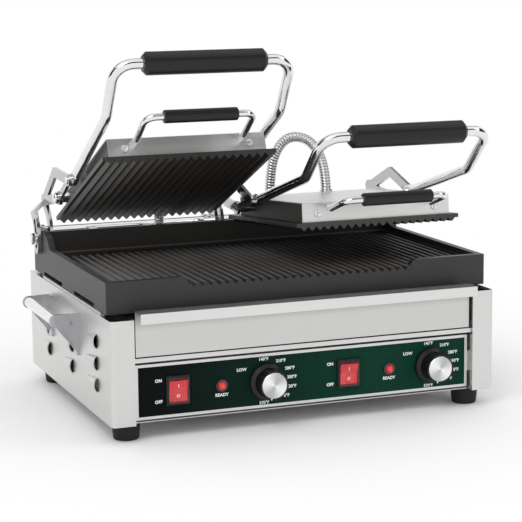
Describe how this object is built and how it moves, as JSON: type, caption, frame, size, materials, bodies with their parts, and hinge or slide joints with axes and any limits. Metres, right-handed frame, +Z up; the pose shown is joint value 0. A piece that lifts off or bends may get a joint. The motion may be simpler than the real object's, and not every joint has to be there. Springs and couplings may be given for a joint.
{
  "type": "double contact grill",
  "caption": "Countertop contact grill with two hinged ribbed upper plates over one ribbed lower plate, a pull-out drip tray, rocker switches, dials and carrying handles.",
  "frame": {"origin": "centre of the bounding box's footprint, on the plane the feet stand on, in the pictured pose", "axes": "+X to the right along the front, +Y to the back, +Z up"},
  "size_m": [0.539, 0.3975, 0.4286],
  "materials": {
    "stainless": "brushed",
    "chrome": "polished",
    "cast": "satin, ribbed",
    "black_plastic": "satin",
    "overlay": "printed",
    "red": "translucent",
    "rubber": "matt",
    "aluminium": "spun",
    "zinc_steel": "zinc plated",
    "ceramic": "glazed"
  },
  "bodies": {
    "base": {"base_plate": "zinc_steel", "carry_bars": "chrome", "carry_brackets": "stainless", "conduit_glands": "black_plastic", "conduit_left": "stainless", "conduit_right": "stainless", "control_panel": "stainless", "feet": "rubber", "foot_screws": "zinc_steel", "front_rail": "stainless", "heat_shield": "zinc_steel", "hinge_brackets": "stainless", "hinge_shaft": "chrome", "indicator_lamps": "red", "inlet_gland": "black_plastic", "lower_casting": "cast", "lower_elements": "zinc_steel", "panel_overlay": "overlay", "rear_deck": "stainless", "rear_panel": "stainless", "side_panel_left": "stainless", "side_panel_right": "stainless", "stop_bolts": "chrome", "support_rails": "zinc_steel", "switch_bodies": "black_plastic", "terminal_block": "ceramic", "thermostats": "zinc_steel", "tray_runners": "zinc_steel"},
    "drip_tray": {"drip_tray": "stainless"},
    "rocker_left": {"rocker_left": "red"},
    "knob_left": {"knob_left": "black_plastic", "knob_cap_left": "aluminium"},
    "arm_left": {"arm_frames_left": "chrome", "cross_tube_left": "chrome", "handle_tube_left": "chrome", "handle_grip_left": "black_plastic", "arm_screws_left": "chrome"},
    "plate_left": {"upper_casting_left": "cast", "top_cover_left": "stainless", "small_handle_left": "chrome", "small_grip_left": "black_plastic", "pivot_studs_left": "chrome", "upper_element_left": "zinc_steel", "conduit_socket_left": "chrome"},
    "rocker_right": {"rocker_right": "red"},
    "knob_right": {"knob_right": "black_plastic", "knob_cap_right": "aluminium"},
    "arm_right": {"arm_frames_right": "chrome", "cross_tube_right": "chrome", "handle_tube_right": "chrome", "handle_grip_right": "black_plastic", "arm_screws_right": "chrome"},
    "plate_right": {"upper_casting_right": "cast", "top_cover_right": "stainless", "small_handle_right": "chrome", "small_grip_right": "black_plastic", "pivot_studs_right": "chrome", "upper_element_right": "zinc_steel", "conduit_socket_right": "chrome"}
  },
  "joints": [
    {"name": "tray_slide", "type": "slide", "parent": "base", "child": "drip_tray", "axis": [0, -1, 0], "range_m": [0, 0.23]},
    {"name": "rocker_left_turn", "type": "hinge", "parent": "base", "child": "rocker_left", "pos_m": [-0.1555, -0.15465, 0.054], "axis": [1, 0, 0], "range_deg": [-16, 0]},
    {"name": "knob_left_turn", "type": "hinge", "parent": "base", "child": "knob_left", "pos_m": [-0.0495, -0.16625, 0.054], "axis": [0, 1, 0], "range_deg": [0, 270]},
    {"name": "arm_left_hinge", "type": "hinge", "parent": "base", "child": "arm_left", "pos_m": [0, 0.17875, 0.187], "axis": [1, 0, 0], "range_deg": [-9.7, 28.3], "deforming": ["conduit_left"]},
    {"name": "plate_left_tilt", "type": "hinge", "parent": "arm_left", "child": "plate_left", "pos_m": [0, 0.08866, 0.24288], "axis": [1, 0, 0], "range_deg": [-4.05, 1.42]},
    {"name": "rocker_right_turn", "type": "hinge", "parent": "base", "child": "rocker_right", "pos_m": [0.0515, -0.15465, 0.054], "axis": [1, 0, 0], "range_deg": [-16, 0]},
    {"name": "knob_right_turn", "type": "hinge", "parent": "base", "child": "knob_right", "pos_m": [0.1575, -0.16625, 0.054], "axis": [0, 1, 0], "range_deg": [0, 270]},
    {"name": "arm_right_hinge", "type": "hinge", "parent": "base", "child": "arm_right", "pos_m": [0, 0.17875, 0.187], "axis": [1, 0, 0], "range_deg": [-24, 14], "deforming": ["conduit_right"]},
    {"name": "plate_right_tilt", "type": "hinge", "parent": "arm_right", "child": "plate_right", "pos_m": [0, 0.07765, 0.2189], "axis": [1, 0, 0], "range_deg": [-9.15, 15.65]}
  ],
  "couplings": [
    {"joint": "plate_left_tilt", "follows": "arm_left_hinge", "ratio": -0.1413},
    {"joint": "plate_right_tilt", "follows": "arm_right_hinge", "ratio": -0.65}
  ]
}
